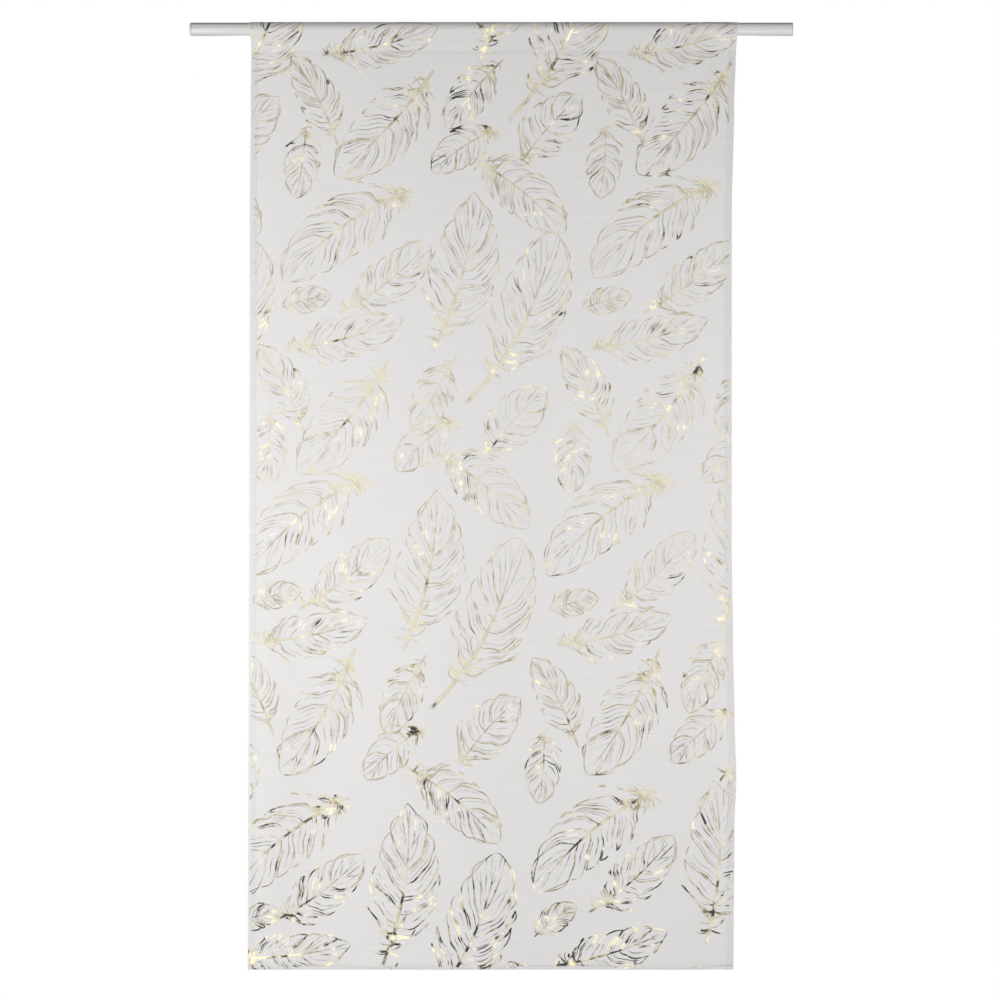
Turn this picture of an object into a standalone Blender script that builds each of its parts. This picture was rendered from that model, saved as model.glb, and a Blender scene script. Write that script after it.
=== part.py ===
"""Sheer curtain panel hung on a round metal rod by a pocket sewn in its top.

Metres, +Z up. The origin is on the rod's axis at the middle of its length. X runs along the rod and the curtain
shows its face towards -Y. The pocket is the top of the curtain's own cloth, turned over the rod to the back and
sewn down on one seam. The cloth hangs almost flat, with its side hems wandering a little in and out.
"""

import math
from collections import namedtuple

import bmesh
import bpy

# Rod: a thin-walled tube with a plug in each end.
ROD_LENGTH = 1.274  # over both plugs
ROD_RADIUS = 0.014
ROD_WALL = 0.0012
ROD_SIDES = 48
GAP = 0.0003  # between two pieces that touch

# Plugs: a head that covers the tube's end and a spigot that fills it.
SPIGOT_LENGTH = 0.015
LEFT_HEAD = 0.005
LEFT_RIM_ROUND = 0.004
RIGHT_HEAD = 0.0015
RIGHT_RIM_ROUND = 0.0003
RIM_STEPS = 5  # steps round a rim

# Cloth: one layer, and the two layers of a turned hem.
CLOTH = 0.001
HEM = 0.002
SIDE_HEM = 0.016
BOTTOM_HEM = 0.006
HEM_STEP = 0.0008  # how wide the step from hem to single cloth is

POCKET_DEPTH = 0.062  # from the top of the cloth down to the seam
POCKET_TIP = 0.0012  # width of the tunnel's bottom, where the seam closes it
SEAM_Z = ROD_RADIUS + GAP + CLOTH - POCKET_DEPTH  # the tunnel's bottom; the two sewn layers lie under it
DROP = 1.986  # from the rod's axis down to the bottom edge

# The side edges. Each row: drop below the rod's axis, left edge, right edge.
SIDES = (
    (0.000, -0.510, 0.520),
    (0.025, -0.507, 0.518),
    (0.070, -0.507, 0.516),
    (0.160, -0.508, 0.513),
    (0.400, -0.510, 0.508),
    (1.080, -0.511, 0.508),
    (1.300, -0.512, 0.511),
    (1.450, -0.512, 0.514),
    (1.580, -0.513, 0.518),
    (1.690, -0.513, 0.514),
    (1.986, -0.514, 0.512),
)

# Soft ripples of the hanging cloth. Each row: middle across, half-width, depth at the seam, depth at the bottom
# edge, how far the ripple strays sideways on its way down. A ripple with a negative depth stands to the front.
RIPPLES = (
    (-0.500, 0.075, 0.000, -0.006, 0.010),
    (-0.330, 0.130, 0.001, 0.004, -0.030),
    (-0.100, 0.150, -0.001, -0.004, 0.040),
    (0.150, 0.160, 0.001, 0.005, -0.020),
    (0.360, 0.110, 0.000, -0.004, 0.030),
    (0.510, 0.080, 0.000, 0.007, -0.005),
)

RIPPLE_START = 0.12  # share of the drop over which the ripples grow out of the straight seam

PANEL_COLUMNS = 26  # across the cloth, between the side hems
PANEL_ROWS = 38  # down the cloth, above the bottom hem
POCKET_COLUMNS = 6
ARC_STEPS = 22  # round the rod, from front to back
SLOPE_STEPS = 5  # down each slope, from the rod to the seam

VOILE = {"colour": (0.80, 0.80, 0.81), "metallic": 0.0, "roughness": 0.75}
ALUMINIUM = {"colour": (0.62, 0.62, 0.61), "metallic": 1.0, "roughness": 0.35}
GREY_PLASTIC = {"colour": (0.60, 0.60, 0.59), "metallic": 0.0, "roughness": 0.45}


def clear_scene():
    for item in list(bpy.data.objects):
        bpy.data.objects.remove(item, do_unlink=True)


def make_material(name, look):
    material = bpy.data.materials.new(name)
    material.use_nodes = True
    shader = material.node_tree.nodes["Principled BSDF"]
    shader.inputs["Base Color"].default_value = (*look["colour"], 1.0)
    shader.inputs["Metallic"].default_value = look["metallic"]
    shader.inputs["Roughness"].default_value = look["roughness"]
    return material


def add_piece(name, bm, material, sharp_degrees=40):
    """Puts a finished bmesh in the scene as one smooth-shaded piece."""
    mesh = bpy.data.meshes.new(name)
    bm.to_mesh(mesh)
    bm.free()
    mesh.materials.append(material)
    mesh.shade_smooth()
    mesh.set_sharp_from_angle(angle=math.radians(sharp_degrees))
    piece = bpy.data.objects.new(name, mesh)
    bpy.context.scene.collection.objects.link(piece)
    return piece


def thicken_cloth(piece, hem_vertices, outward):
    """Gives a sheet its thickness: HEM on the given vertices, CLOTH on all others."""
    group = piece.vertex_groups.new(name="hems")
    group.add(hem_vertices, 1.0, "REPLACE")
    solid = piece.modifiers.new("thickness", "SOLIDIFY")
    solid.thickness = HEM
    solid.offset = 1.0 if outward else -1.0
    solid.vertex_group = group.name
    solid.thickness_vertex_group = CLOTH / HEM
    solid.use_even_offset = True
    solid.use_rim = True


def eased(share):
    """A share of the way from 0 to 1 that starts and ends softly."""
    return share * share * (3 - 2 * share)


def side_at(drop, column):
    """Where a side edge is at this drop: column 1 of SIDES is the left edge, column 2 the right one."""
    if drop <= SIDES[0][0]:
        return SIDES[0][column]
    for upper, lower in zip(SIDES, SIDES[1:]):
        if drop <= lower[0]:
            share = (drop - upper[0]) / (lower[0] - upper[0])
            return upper[column] + (lower[column] - upper[column]) * eased(share)
    return SIDES[-1][column]


def ripple_at(x, share_down):
    """How far the cloth lies behind the rod's plane at x, share_down of the way from the seam to the bottom."""
    depth = 0.0
    for middle, half_width, at_seam, at_bottom, stray in RIPPLES:
        away = (x - middle - stray * share_down) / half_width
        height = at_seam + (at_bottom - at_seam) * eased(share_down)
        depth += height * math.exp(-away * away)
    return depth * min(1.0, share_down / RIPPLE_START)


# One column of the cloth: it lies at left edge + share * plain width + inset, and hem says if it is in a side hem.
Column = namedtuple("Column", "share inset hem")


def cloth_columns(plain_columns):
    """The columns of a sheet with a hem at each side, from left to right."""
    hem_and_step = SIDE_HEM + HEM_STEP
    left = [Column(0.0, 0.0, True), Column(0.0, SIDE_HEM, True), Column(0.0, hem_and_step, False)]
    plain = [Column(step / plain_columns, hem_and_step, False) for step in range(1, plain_columns + 1)]
    right = [Column(1.0, hem_and_step + HEM_STEP, True), Column(1.0, 2 * hem_and_step, True)]
    return left + plain + right


def across_at(column, drop):
    """The x of a column at this drop below the rod's axis."""
    left, right = side_at(drop, 1), side_at(drop, 2)
    plain_width = right - left - 2 * (SIDE_HEM + HEM_STEP)
    return left + column.share * plain_width + column.inset


def lay_along_x(bm, start, direction):
    """Turns a shape that was made along +Z from 0 so that it runs along X from start."""
    for vertex in bm.verts:
        x, y, z = vertex.co
        vertex.co = (start + direction * z, y, x)
    bmesh.ops.recalc_face_normals(bm, faces=bm.faces)


def make_rod_tube(material):
    """The tube, open at both ends; each end stops a gap short of its plug's head."""
    start = -ROD_LENGTH / 2 + LEFT_HEAD + GAP
    end = ROD_LENGTH / 2 - RIGHT_HEAD - GAP
    bm = bmesh.new()
    for radius in (ROD_RADIUS, ROD_RADIUS - ROD_WALL):
        bmesh.ops.create_circle(bm, segments=ROD_SIDES, radius=radius)
    end_ring = bmesh.ops.bridge_loops(bm, edges=bm.edges[:])["faces"]
    pulled = bmesh.ops.extrude_face_region(bm, geom=end_ring)["geom"]
    far_ring = [item for item in pulled if isinstance(item, bmesh.types.BMVert)]
    bmesh.ops.translate(bm, verts=far_ring, vec=(0.0, 0.0, end - start))
    lay_along_x(bm, start, 1)
    return add_piece("rod_tube", bm, material)


def make_plug(name, head, rim_round, end_x, inward, material):
    """A turned plug whose head's face is at end_x; inward is +1 at the left end and -1 at the right one."""
    spigot_radius = ROD_RADIUS - ROD_WALL - GAP
    profile = [(0.0, 0.0), (ROD_RADIUS - rim_round, 0.0)]
    for step in range(1, RIM_STEPS + 1):
        angle = math.pi / 2 * step / RIM_STEPS
        across = ROD_RADIUS - rim_round + rim_round * math.sin(angle)
        profile.append((across, rim_round - rim_round * math.cos(angle)))
    profile += [(ROD_RADIUS, head), (spigot_radius, head)]
    profile += [(spigot_radius, head + SPIGOT_LENGTH), (0.0, head + SPIGOT_LENGTH)]
    bm = bmesh.new()
    points = [bm.verts.new((across, 0.0, depth)) for across, depth in profile]
    edges = [bm.edges.new(pair) for pair in zip(points, points[1:])]
    bmesh.ops.spin(
        bm,
        geom=points + edges,
        cent=(0.0, 0.0, 0.0),
        axis=(0.0, 0.0, 1.0),
        angle=math.tau,
        steps=ROD_SIDES,
        use_merge=True,
    )
    bmesh.ops.remove_doubles(bm, verts=bm.verts, dist=0.00001)
    lay_along_x(bm, end_x, inward)
    return add_piece(name, bm, material)


def tunnel_section():
    """The tunnel's inner outline in (y, z), from the seam's front up over the rod and down to the seam's back."""
    radius = ROD_RADIUS + GAP
    tip = POCKET_TIP / 2
    slope = math.asin((radius - tip) / math.hypot(tip, SEAM_Z))
    over_rod = []
    for step in range(ARC_STEPS + 1):
        angle = math.pi + slope - (math.pi + 2 * slope) * step / ARC_STEPS
        over_rod.append((radius * math.cos(angle), radius * math.sin(angle)))
    first_y, first_z = over_rod[0]
    rise = []
    for step in range(SLOPE_STEPS):
        share = step / SLOPE_STEPS
        rise.append((-tip + (first_y + tip) * share, SEAM_Z + (first_z - SEAM_Z) * share))
    fall = [(-y, z) for y, z in reversed(rise)]
    return rise + over_rod + fall


def make_pocket(material):
    """The pocket: the tunnel's outline swept along the rod, then thickened outwards, twice as much where sewn."""
    section = tunnel_section()
    columns = cloth_columns(POCKET_COLUMNS)
    bm = bmesh.new()
    bmesh.ops.create_circle(bm, segments=len(section), radius=1.0)
    loops = [bm.verts[:]]
    open_edges = bm.edges[:]
    for _ in columns[1:]:
        pulled = bmesh.ops.extrude_edge_only(bm, edges=open_edges)["geom"]
        loops.append([item for item in pulled if isinstance(item, bmesh.types.BMVert)])
        open_edges = [item for item in pulled if isinstance(item, bmesh.types.BMEdge)]
    bm.verts.index_update()
    hems = []
    for column, loop in zip(columns, loops):
        for (y, z), vertex in zip(section, loop):
            vertex.co = (across_at(column, max(0.0, -z)), y, z)
        sewn = loop if column.hem else (loop[0], loop[-1])
        hems += [vertex.index for vertex in sewn]
    bmesh.ops.recalc_face_normals(bm, faces=bm.faces)
    piece = add_piece("rod_pocket", bm, material)
    thicken_cloth(piece, hems, outward=True)
    return piece


def make_panel(material):
    """The panel: a grid laid out by the side edges and ripples, then thickened to the back."""
    top = GAP + HEM - SEAM_Z
    hem_top = DROP - BOTTOM_HEM
    columns = cloth_columns(PANEL_COLUMNS)
    drops = [top + (hem_top - HEM_STEP - top) * row / PANEL_ROWS for row in range(PANEL_ROWS + 1)]
    drops += [hem_top, DROP]
    bm = bmesh.new()
    bmesh.ops.create_grid(bm, x_segments=len(columns) - 1, y_segments=len(drops) - 1, size=1.0)
    hems = []
    for vertex in bm.verts:
        column = columns[round((vertex.co.x + 1) / 2 * (len(columns) - 1))]
        drop = drops[round((1 - vertex.co.y) / 2 * (len(drops) - 1))]
        x = across_at(column, drop)
        vertex.co = (x, ripple_at(x, (drop - top) / (DROP - top)) - CLOTH / 2, -drop)
        if column.hem or drop >= hem_top:
            hems.append(vertex.index)
    piece = add_piece("curtain_panel", bm, material)
    thicken_cloth(piece, hems, outward=False)
    return piece


def main():
    clear_scene()
    voile = make_material("voile", VOILE)
    aluminium = make_material("aluminium", ALUMINIUM)
    grey_plastic = make_material("grey_plastic", GREY_PLASTIC)
    make_rod_tube(aluminium)
    make_plug("end_plug_left", LEFT_HEAD, LEFT_RIM_ROUND, -ROD_LENGTH / 2, 1, grey_plastic)
    make_plug("end_plug_right", RIGHT_HEAD, RIGHT_RIM_ROUND, ROD_LENGTH / 2, -1, grey_plastic)
    make_pocket(voile)
    make_panel(voile)


main()
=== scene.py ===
"""The looks of the sheer curtain on its rod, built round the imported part.

Metres, +Z up, the curtain's face towards -Y. The cloth is one thin sheet that hangs on the folds of its
solids, with its hems turned back and its top sewn round the rod. The foil print and the sewing thread are
laid on it.
"""

import math
import random
from collections import namedtuple

import bmesh
import bpy
from mathutils import Matrix, Vector, noise


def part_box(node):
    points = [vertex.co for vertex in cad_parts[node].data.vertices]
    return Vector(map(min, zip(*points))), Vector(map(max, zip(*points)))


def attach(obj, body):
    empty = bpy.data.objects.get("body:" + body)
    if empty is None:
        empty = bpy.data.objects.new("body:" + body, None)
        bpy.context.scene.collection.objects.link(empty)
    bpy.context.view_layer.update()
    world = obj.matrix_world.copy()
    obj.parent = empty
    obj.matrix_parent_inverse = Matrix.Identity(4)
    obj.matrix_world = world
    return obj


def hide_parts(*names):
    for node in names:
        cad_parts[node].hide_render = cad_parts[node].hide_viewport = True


MM = 0.001

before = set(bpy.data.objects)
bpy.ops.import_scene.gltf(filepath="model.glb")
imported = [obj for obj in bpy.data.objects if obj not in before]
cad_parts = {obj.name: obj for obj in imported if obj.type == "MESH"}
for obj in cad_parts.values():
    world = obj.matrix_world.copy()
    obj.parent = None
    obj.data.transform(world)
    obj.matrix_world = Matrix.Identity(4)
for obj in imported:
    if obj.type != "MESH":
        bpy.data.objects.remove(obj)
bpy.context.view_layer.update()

# -------------------------------- sizes

ROD_LOW, ROD_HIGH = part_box("rod_tube")
ROD_RADIUS = (ROD_HIGH[2] - ROD_LOW[2]) / 2
PANEL_LOW, PANEL_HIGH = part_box("curtain_panel")
DROP = -PANEL_LOW[2]  # from the rod's axis down to the bottom edge
SEAM_DROP = 0.0467  # from the rod's axis down to the pocket's seam

CLOTH = 0.2 * MM  # thickness of the voile
LAYER = 0.5 * MM  # from one layer of a turned hem to the next
SIDE_HEM = 16 * MM
BOTTOM_HEM = 6 * MM
BOTTOM_FOLD = 0.8 * MM  # radius of the bottom fold, round the side hem that lies inside it
LOOP_RADIUS = ROD_RADIUS + 1.2 * MM  # the cloth's own layer where it lies over the rod
SEAM_ALLOWANCE = 5 * MM  # cloth under the pocket's seam, behind the panel

# Something that differs from the left to the right side of the cloth, at a drop below the rod's axis.
Sides = namedtuple("Sides", "drop left right")

# Where the side edges hang.
EDGES = (
    Sides(0.000, -0.510, 0.520),
    Sides(0.025, -0.507, 0.518),
    Sides(0.070, -0.507, 0.516),
    Sides(0.160, -0.508, 0.513),
    Sides(0.400, -0.510, 0.508),
    Sides(1.080, -0.511, 0.508),
    Sides(1.300, -0.512, 0.511),
    Sides(1.450, -0.512, 0.514),
    Sides(1.580, -0.513, 0.518),
    Sides(1.690, -0.513, 0.514),
    Sides(1.986, -0.514, 0.512),
)

# Soft ripples of the hanging cloth: where the middle is, half the width, how deep each is at the seam and at
# the bottom edge, and how far it strays sideways on its way down. A negative depth stands to the front.
Ripple = namedtuple("Ripple", "middle width at_seam at_bottom stray")
RIPPLES = (
    Ripple(-0.500, 0.075, 0.000, -0.006, 0.010),
    Ripple(-0.330, 0.130, 0.001, 0.004, -0.030),
    Ripple(-0.100, 0.150, -0.001, -0.004, 0.040),
    Ripple(0.150, 0.160, 0.001, 0.005, -0.020),
    Ripple(0.360, 0.110, 0.000, -0.004, 0.030),
    Ripple(0.510, 0.080, 0.000, 0.007, -0.005),
)
RIPPLE_START = 0.12  # share of the drop over which the ripples grow out of the straight seam

# Small unevenness of the cloth: how far each kind stands out, and the run over which it dies away or grows.
PUCKER = 0.35 * MM
PUCKER_REACH = 16 * MM
SLACK = 0.7 * MM
COCKLE = 0.5 * MM
COCKLE_START = 150 * MM

# -------------------------------- how the cloth hangs

SLOPE_ANGLE = math.asin(LOOP_RADIUS / SEAM_DROP)  # between the pocket's slopes and the upright
SLOPE = SEAM_DROP * math.cos(SLOPE_ANGLE)  # length of each slope, from the seam to the rod
ARC = LOOP_RADIUS * (math.pi + 2 * SLOPE_ANGLE)  # cloth over the rod
LOOP = SLOPE + ARC + SLOPE
FACE_RUN = DROP - BOTTOM_FOLD - CLOTH - SEAM_DROP  # from the seam down to the bottom fold
HEM_RUN = FACE_RUN + math.pi * BOTTOM_FOLD + BOTTOM_HEM


def eased(share):
    """A share that sets out and arrives gently."""
    return share * share * (3 - 2 * share)


def look_up(table, drop, ease):
    """A table's left and right values at a drop below the rod's axis. ease shapes the way from row to row."""
    if drop <= table[0].drop:
        return table[0].left, table[0].right
    for above, below in zip(table, table[1:]):
        if drop <= below.drop:
            share = ease((drop - above.drop) / (below.drop - above.drop))
            left = above.left + share * (below.left - above.left)
            return left, above.right + share * (below.right - above.right)
    return table[-1].left, table[-1].right


def edges_at(drop):
    """The left and right edge of the cloth at a drop below the rod's axis."""
    return look_up(EDGES, drop, eased)


def ripple_at(across, share_down):
    """How far the hanging cloth stands to the back of its own plane."""
    depth = 0.0
    for ripple in RIPPLES:
        away = (across - ripple.middle - ripple.stray * share_down) / ripple.width
        height = ripple.at_seam + (ripple.at_bottom - ripple.at_seam) * eased(share_down)
        depth += height * math.exp(-away * away)
    return depth * min(1.0, share_down / RIPPLE_START)


def hang(run):
    """The cloth's line, seen from its side: y, z and the way to its back, at a run down from the seam.

    A negative run goes up the pocket's front, over the rod and down its back.
    """
    sine, cosine = math.sin(SLOPE_ANGLE), math.cos(SLOPE_ANGLE)
    if run > FACE_RUN:
        axis_z = -SEAM_DROP - FACE_RUN
        turn = min(math.pi, (run - FACE_RUN) / BOTTOM_FOLD)
        up = max(0.0, run - FACE_RUN - math.pi * BOTTOM_FOLD)
        y = BOTTOM_FOLD * (1 - math.cos(turn))
        return y, axis_z - BOTTOM_FOLD * math.sin(turn) + up, math.cos(turn), math.sin(turn)
    if run >= 0:
        return 0.0, -SEAM_DROP - run, 1.0, 0.0
    climb = -run
    if climb < SLOPE:
        return -sine * climb, cosine * climb - SEAM_DROP, cosine, sine
    if climb < SLOPE + ARC:
        angle = math.pi + SLOPE_ANGLE - (climb - SLOPE) / LOOP_RADIUS
        y, z = math.cos(angle), math.sin(angle)
        return LOOP_RADIUS * y, LOOP_RADIUS * z, -y, -z
    left = LOOP - climb
    if left > 0:
        gap = LAYER * (1 - left / SLOPE)
        return sine * left + gap, cosine * left - SEAM_DROP, -cosine, sine
    return LAYER, left - SEAM_DROP, -1.0, 0.0


def unevenness(across, run):
    """Puckers that the seam draws, slack in the pocket, and a faint cockle below the seam."""
    at_seam = math.exp(-abs(run) / PUCKER_REACH)
    pucker = PUCKER * at_seam * noise.noise((across * 75, run * 14, 1.0))
    if run < 0:
        middle = math.sin(math.pi * min(1.0, -run / SLOPE)) if -run < SLOPE else 0.0
        return pucker + SLACK * middle * noise.noise((across * 17, 0.0, 5.0))
    cockle = COCKLE * noise.noise((across * 7, run * 2.5, 9.0))
    return pucker + cockle * min(1.0, run / COCKLE_START)


def on_cloth(across, run, out=0.0):
    """A point of the hung curtain. out is how far it stands off the face; a hem's layers stand behind it."""
    y, z, back_y, back_z = hang(run)
    share = min(1.0, max(0.0, run / FACE_RUN))
    shift = ripple_at(across, share) + unevenness(across, min(run, FACE_RUN))
    sign = 1 if back_y >= 0 and run > -SLOPE else 0
    return Vector((across, y - CLOTH / 2 + shift * sign - back_y * out, z - back_z * out))


# -------------------------------- materials

def linear(hex_colour):
    """An sRGB hex colour as linear RGBA."""
    channels = [int(hex_colour[i:i + 2], 16) / 255 for i in (1, 3, 5)]
    return [c / 12.92 if c <= 0.04045 else ((c + 0.055) / 1.055) ** 2.4 for c in channels] + [1.0]


def add_node(tree, kind, sockets=None, **settings):
    """Adds a node. sockets gives each input a value, or the output that it is linked to."""
    node = tree.nodes.new(kind)
    for name, value in settings.items():
        setattr(node, name, value)
    for name, value in (sockets or {}).items():
        if isinstance(value, bpy.types.NodeSocket):
            tree.links.new(value, node.inputs[name])
        else:
            node.inputs[name].default_value = value
    return node


def maths(tree, operation, *values):
    """A maths node's output. The values are numbers or the outputs of other nodes."""
    return add_node(tree, "ShaderNodeMath", dict(enumerate(values)), operation=operation).outputs[0]


def new_material(name):
    """An empty node-based material and its tree."""
    material = bpy.data.materials.new(name)
    material.use_nodes = True
    material.node_tree.nodes.clear()
    return material, material.node_tree


def ramp(tree, factor, stops):
    """A ramp through stops, which are places on it with a hex colour or a plain level each."""
    node = add_node(tree, "ShaderNodeValToRGB", {"Fac": factor})
    elements = node.color_ramp.elements
    while len(elements) < len(stops):
        elements.new(0.5)
    for element, (place, value) in zip(elements, stops):
        element.position = place
        element.color = linear(value) if isinstance(value, str) else (value, value, value, 1.0)
    return node.outputs["Color"]


def polyester_voile():
    """Woven polyester voile: fine filament yarn in a plain open weave.

    It scatters most light, lets some through diffused and some straight through its gaps. Thicker stretches
    of yarn show as faint streaks both ways. The weave's own pitch, 0.35 mm, is too fine to show and is drawn
    at 1 mm.
    """
    material, tree = new_material("polyester_voile")
    place = add_node(tree, "ShaderNodeTexCoord").outputs["Object"]
    weft = add_node(tree, "ShaderNodeMapping", {"Vector": place, "Scale": (7, 1, 260)})
    warp = add_node(tree, "ShaderNodeMapping", {"Vector": place, "Scale": (260, 1, 5)})
    weft_slubs = add_node(tree, "ShaderNodeTexNoise", {
        "Vector": weft.outputs[0], "Scale": 1.0, "Detail": 1.0})
    warp_slubs = add_node(tree, "ShaderNodeTexNoise", {
        "Vector": warp.outputs[0], "Scale": 1.0, "Detail": 1.0})
    slubs = maths(tree, "ADD", weft_slubs.outputs["Fac"], warp_slubs.outputs["Fac"])
    density = add_node(tree, "ShaderNodeMapRange", {
        "Value": slubs, "From Min": 0.6, "From Max": 1.4, "To Min": 0.905, "To Max": 0.925})
    colour = ramp(tree, weft_slubs.outputs["Fac"], ((0.3, "#D9D8D7"), (0.7, "#DCDBDA")))
    pitch = 0.314 / (1.0 * MM)  # a wave's scale for one band every millimetre
    weft_yarn = add_node(tree, "ShaderNodeTexWave", {"Vector": place, "Scale": pitch}, bands_direction="Z")
    warp_yarn = add_node(tree, "ShaderNodeTexWave", {"Vector": place, "Scale": pitch}, bands_direction="X")
    weave = maths(tree, "MULTIPLY", weft_yarn.outputs["Fac"], warp_yarn.outputs["Fac"])
    bump = add_node(tree, "ShaderNodeBump", {"Height": weave, "Strength": 0.15, "Distance": 0.1 * MM})
    front = add_node(tree, "ShaderNodeBsdfPrincipled", {
        "Base Color": colour, "Roughness": 0.75, "IOR": 1.55, "Sheen Weight": 0.12, "Sheen Roughness": 0.4,
        "Normal": bump.outputs[0]})
    through = add_node(tree, "ShaderNodeBsdfTranslucent", {"Color": colour})
    yarn = add_node(tree, "ShaderNodeMixShader", {0: 0.36, 1: front.outputs[0], 2: through.outputs[0]})
    gaps = add_node(tree, "ShaderNodeBsdfTransparent")
    cloth = add_node(tree, "ShaderNodeMixShader", {
        0: density.outputs[0], 1: gaps.outputs[0], 2: yarn.outputs[0]})
    add_node(tree, "ShaderNodeOutputMaterial", {"Surface": cloth.outputs[0]})
    return material


# Painted reflections in the foil's colour, from the bottom edge of the curtain (0) up to the rod (1): how
# light they are, and how far their painted darks and glints spread. They are darker towards the top and the
# bottom and palest in the middle of the drop; the painted glints spread most at the bottom edge.
FOIL_PAINTED_REFLECTION = ((0.0, 0.37), (0.17, 0.44), (0.28, 0.50), (0.38, 0.56), (0.49, 0.64), (0.60, 0.66),
                  (0.70, 0.60), (0.81, 0.53), (0.91, 0.46), (1.0, 0.46))
FOIL_PAINTED_GLINT_SPREAD = ((0.0, 1.45), (0.06, 1.05), (0.12, 0.68), (0.3, 0.42), (0.8, 0.42), (1.0, 0.60))

# The foil's colours, from painted near-black reflections through its gold to painted pale glints.
OUTLINE_PAINTED_REFLECTIONS = ((0.00, "#39372F"), (0.10, "#65614F"), (0.20, "#8E866F"), (0.32, "#B0A587"),
                 (0.44, "#A9A497"), (0.55, "#BBB4A2"), (0.66, "#CBC4AE"), (0.74, "#C5C2BB"),
                 (0.84, "#D2CCBA"), (0.92, "#DED4B3"), (1.00, "#F8ECC4"))
BARB_PAINTED_REFLECTIONS = ((0.00, "#5D5B54"), (0.14, "#87847D"), (0.28, "#A29F99"), (0.42, "#B0ADA9"),
              (0.56, "#BEBBB7"), (0.68, "#CCC8BB"), (0.78, "#CBC9C5"), (0.90, "#D8D5D0"),
              (1.00, "#F5EED6"))
THICK_PAINTED_REFLECTIONS = ((0.00, "#3A372F"), (0.12, "#6A6553"), (0.22, "#A49A80"), (0.36, "#C4BA9E"),
               (0.55, "#D4CCB3"), (0.78, "#CEC9BA"), (0.92, "#DAD1B4"), (1.00, "#F6EAC2"))


def stamped_foil(name, stops):
    """Hot-stamped metallised foil: a film of aluminium under gold lacquer, thin and uneven where it took.

    It mirrors its surroundings softly through its metal, and its reflections are also painted into its
    colour, so each stroke runs from painted near-black reflections through gold to painted pale glints. The
    painted reflections are palest in the middle of the drop, and in scattered clusters the painted darks are
    darker and the painted glints brighter.
    """
    material, tree = new_material(name)
    place = add_node(tree, "ShaderNodeTexCoord").outputs["Object"]
    patches = add_node(tree, "ShaderNodeTexNoise", {
        "Vector": place, "Scale": 34.0, "Detail": 4.0, "Roughness": 0.54})
    clusters = add_node(tree, "ShaderNodeTexNoise", {"Vector": place, "Scale": 10.0, "Detail": 1.0})
    # Scattered clusters where the painted darks are darker and the painted glints brighter.
    painted_glint_clusters = add_node(tree, "ShaderNodeMapRange", {
        "Value": clusters.outputs["Fac"], "From Min": 0.40, "From Max": 0.66, "To Min": 0.50, "To Max": 1.80})
    height = add_node(tree, "ShaderNodeSeparateXYZ", {"Vector": place}).outputs["Z"]
    rise = add_node(tree, "ShaderNodeMapRange", {
        "Value": height, "From Min": -DROP, "From Max": 0.0, "To Min": 0.0, "To Max": 1.0})
    painted_reflection_level = ramp(tree, rise.outputs[0], FOIL_PAINTED_REFLECTION)
    painted_glint_spread = ramp(tree, rise.outputs[0], FOIL_PAINTED_GLINT_SPREAD)
    spread = maths(tree, "SUBTRACT", patches.outputs["Fac"], 0.5)
    patchy = maths(tree, "MULTIPLY", spread, painted_glint_clusters.outputs[0])
    wide = maths(tree, "MULTIPLY", patchy, 5.0)
    # The base colour is painted with reflections and glints: noise patches, darker towards the top and
    # bottom.
    colour = ramp(tree, maths(tree, "MULTIPLY_ADD", wide, painted_glint_spread, painted_reflection_level), stops)
    crackle = add_node(tree, "ShaderNodeTexNoise", {"Vector": place, "Scale": 420.0, "Detail": 2.0})
    bump = add_node(tree, "ShaderNodeBump", {
        "Height": crackle.outputs["Fac"], "Strength": 0.8, "Distance": 0.4 * MM})
    gloss = add_node(tree, "ShaderNodeMapRange", {
        "Value": crackle.outputs["Fac"], "To Min": 0.28, "To Max": 0.50})
    foil = add_node(tree, "ShaderNodeBsdfPrincipled", {
        "Base Color": colour, "Metallic": 0.4, "Roughness": gloss.outputs[0], "Normal": bump.outputs[0]})
    add_node(tree, "ShaderNodeOutputMaterial", {"Surface": foil.outputs[0]})
    return material


def spun_polyester_thread():
    """Spun polyester sewing thread: two plies with a soft twist, a little duller than the voile."""
    material, tree = new_material("spun_polyester_thread")
    place = add_node(tree, "ShaderNodeTexCoord").outputs["Object"]
    twist = add_node(tree, "ShaderNodeTexNoise", {"Vector": place, "Scale": 900.0, "Detail": 1.0})
    colour = ramp(tree, twist.outputs["Fac"], ((0.3, "#C9C8C8"), (0.7, "#E2E1E0")))
    thread = add_node(tree, "ShaderNodeBsdfPrincipled", {
        "Base Color": colour, "Roughness": 0.7, "IOR": 1.5, "Sheen Weight": 0.2})
    add_node(tree, "ShaderNodeOutputMaterial", {"Surface": thread.outputs[0]})
    return material


def drawn_aluminium():
    """Aluminium tube drawn through a die and left satin: fine lines run along it and pull its gloss out."""
    material, tree = new_material("drawn_aluminium")
    place = add_node(tree, "ShaderNodeTexCoord").outputs["Object"]
    along = add_node(tree, "ShaderNodeMapping", {"Vector": place, "Scale": (5, 700, 700)})
    lines = add_node(tree, "ShaderNodeTexNoise", {"Vector": along.outputs[0], "Scale": 1.0, "Detail": 3.0})
    colour = ramp(tree, lines.outputs["Fac"], ((0.35, "#E6E6E4"), (0.65, "#F5F5F3")))
    gloss = add_node(tree, "ShaderNodeMapRange", {
        "Value": lines.outputs["Fac"], "To Min": 0.22, "To Max": 0.34})
    bump = add_node(tree, "ShaderNodeBump", {
        "Height": lines.outputs["Fac"], "Strength": 0.25, "Distance": 0.05 * MM})
    metal = add_node(tree, "ShaderNodeBsdfPrincipled", {
        "Base Color": colour, "Metallic": 1.0, "Roughness": gloss.outputs[0], "Normal": bump.outputs[0]})
    add_node(tree, "ShaderNodeOutputMaterial", {"Surface": metal.outputs[0]})
    return material


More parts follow.
